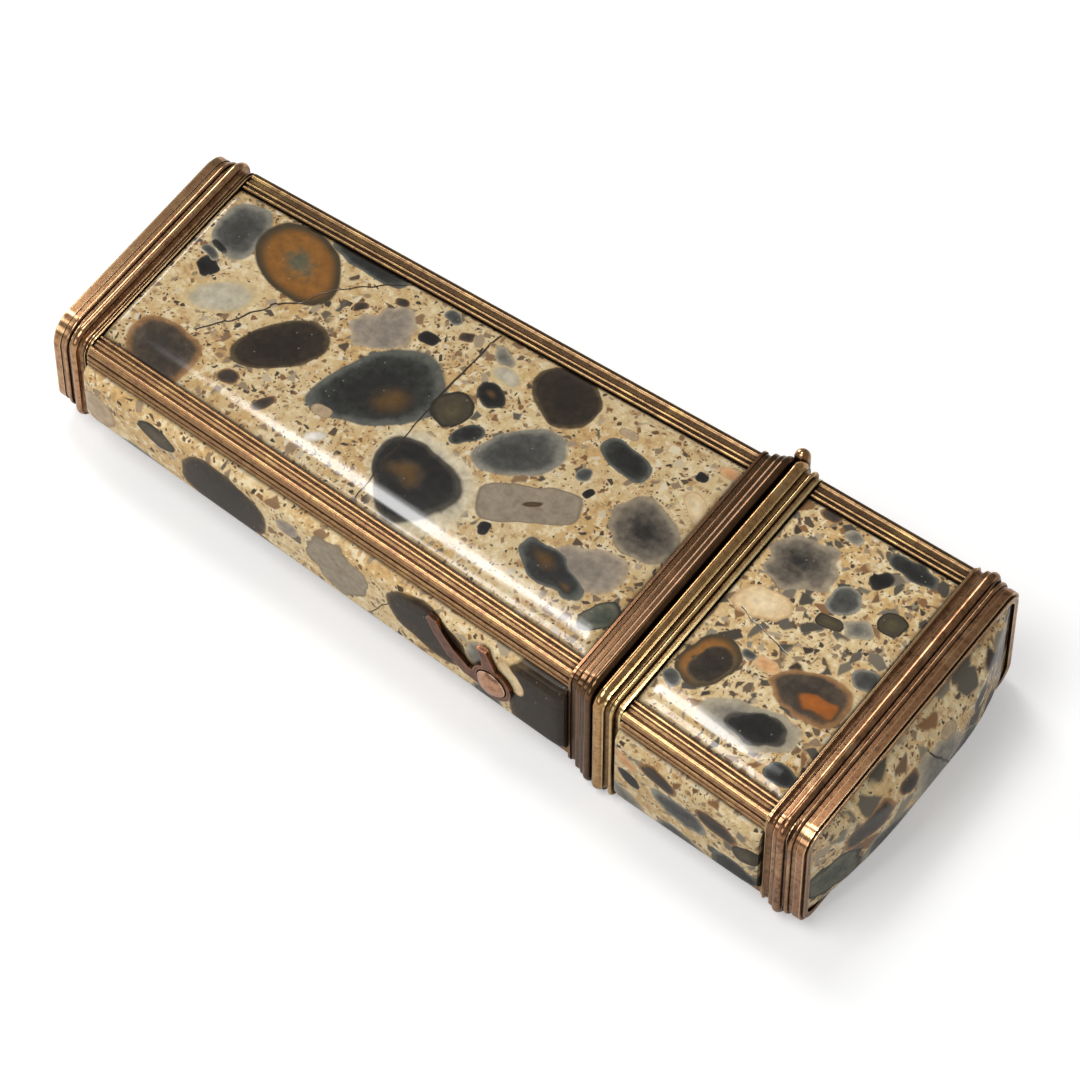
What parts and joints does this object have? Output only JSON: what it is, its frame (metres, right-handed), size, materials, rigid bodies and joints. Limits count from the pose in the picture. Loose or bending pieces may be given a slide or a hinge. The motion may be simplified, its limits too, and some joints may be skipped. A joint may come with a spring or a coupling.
{
  "type": "etui",
  "caption": "Tapering agate and gilt metal needlework case with a hinged lid, push-button catch and fitted tools.",
  "frame": {"origin": "middle of the bounding box in plan, on the plane that the case lies on", "axes": "+X from the base towards the lid, +Y towards the hinge, +Z out of the front face"},
  "size_m": [0.0986, 0.0376, 0.0184],
  "materials": {
    "agate": "polished",
    "gilt_metal": "aged gilt",
    "lining_metal": "satin",
    "steel": "satin",
    "ivory": "polished",
    "cedar": "matt"
  },
  "bodies": {
    "body": {"body_lining": "lining_metal", "mouth_collar": "lining_metal", "body_rim": "gilt_metal", "base_band": "gilt_metal", "body_strip_front_button": "gilt_metal", "body_strip_front_hinge": "gilt_metal", "body_strip_back_button": "gilt_metal", "body_strip_back_hinge": "gilt_metal", "body_front_stone": "agate", "body_back_stone": "agate", "body_button_stone": "agate", "body_hinge_stone": "agate", "base_stone": "agate", "body_knuckles": "gilt_metal", "hinge_pin": "gilt_metal", "button_mount": "gilt_metal", "spring_bracket": "gilt_metal", "tool_block": "cedar"},
    "button": {"push_button": "gilt_metal"},
    "catch": {"catch_spring": "steel"},
    "lid": {"lid_lining": "lining_metal", "lid_rim": "gilt_metal", "lid_end_band": "gilt_metal", "lid_strip_front_button": "gilt_metal", "lid_strip_front_hinge": "gilt_metal", "lid_strip_back_button": "gilt_metal", "lid_strip_back_hinge": "gilt_metal", "lid_front_stone": "agate", "lid_back_stone": "agate", "lid_button_stone": "agate", "lid_hinge_stone": "agate", "lid_end_stone": "agate", "lid_knuckles": "gilt_metal"},
    "penknife": {"knife_handle": "ivory", "knife_blade": "steel"},
    "stiletto": {"stiletto_handle": "ivory", "stiletto_spike": "steel"},
    "bodkin": {"bodkin": "steel"},
    "tweezers": {"tweezers": "steel"}
  },
  "joints": [
    {"name": "lid_hinge", "type": "hinge", "parent": "body", "child": "lid", "pos_m": [0.02055, 0.01785, 0.0092], "axis": [0, 0, 1], "range_deg": [0, 110]},
    {"name": "button_press", "type": "slide", "parent": "body", "child": "button", "axis": [0.038, 0.9993, 0], "range_m": [0, 0.0006], "stiffness_N_per_m": 1500, "springref_m": -0.0004},
    {"name": "catch_flex", "type": "hinge", "parent": "body", "child": "catch", "pos_m": [-0.01699, -0.01157, 0.0092], "axis": [0, 0, 1], "range_deg": [0, 1.4]},
    {"name": "penknife_draw", "type": "slide", "parent": "body", "child": "penknife", "axis": [1, 0, 0], "range_m": [0, 0.009]},
    {"name": "stiletto_draw", "type": "slide", "parent": "body", "child": "stiletto", "axis": [1, 0, 0], "range_m": [0, 0.009]},
    {"name": "bodkin_draw", "type": "slide", "parent": "body", "child": "bodkin", "axis": [1, 0, 0], "range_m": [0, 0.009]},
    {"name": "tweezers_draw", "type": "slide", "parent": "body", "child": "tweezers", "axis": [1, 0, 0], "range_m": [0, 0.009]}
  ],
  "couplings": [
    {"joint": "catch_flex", "follows": "button_press", "rad_per_m": 38.462}
  ]
}
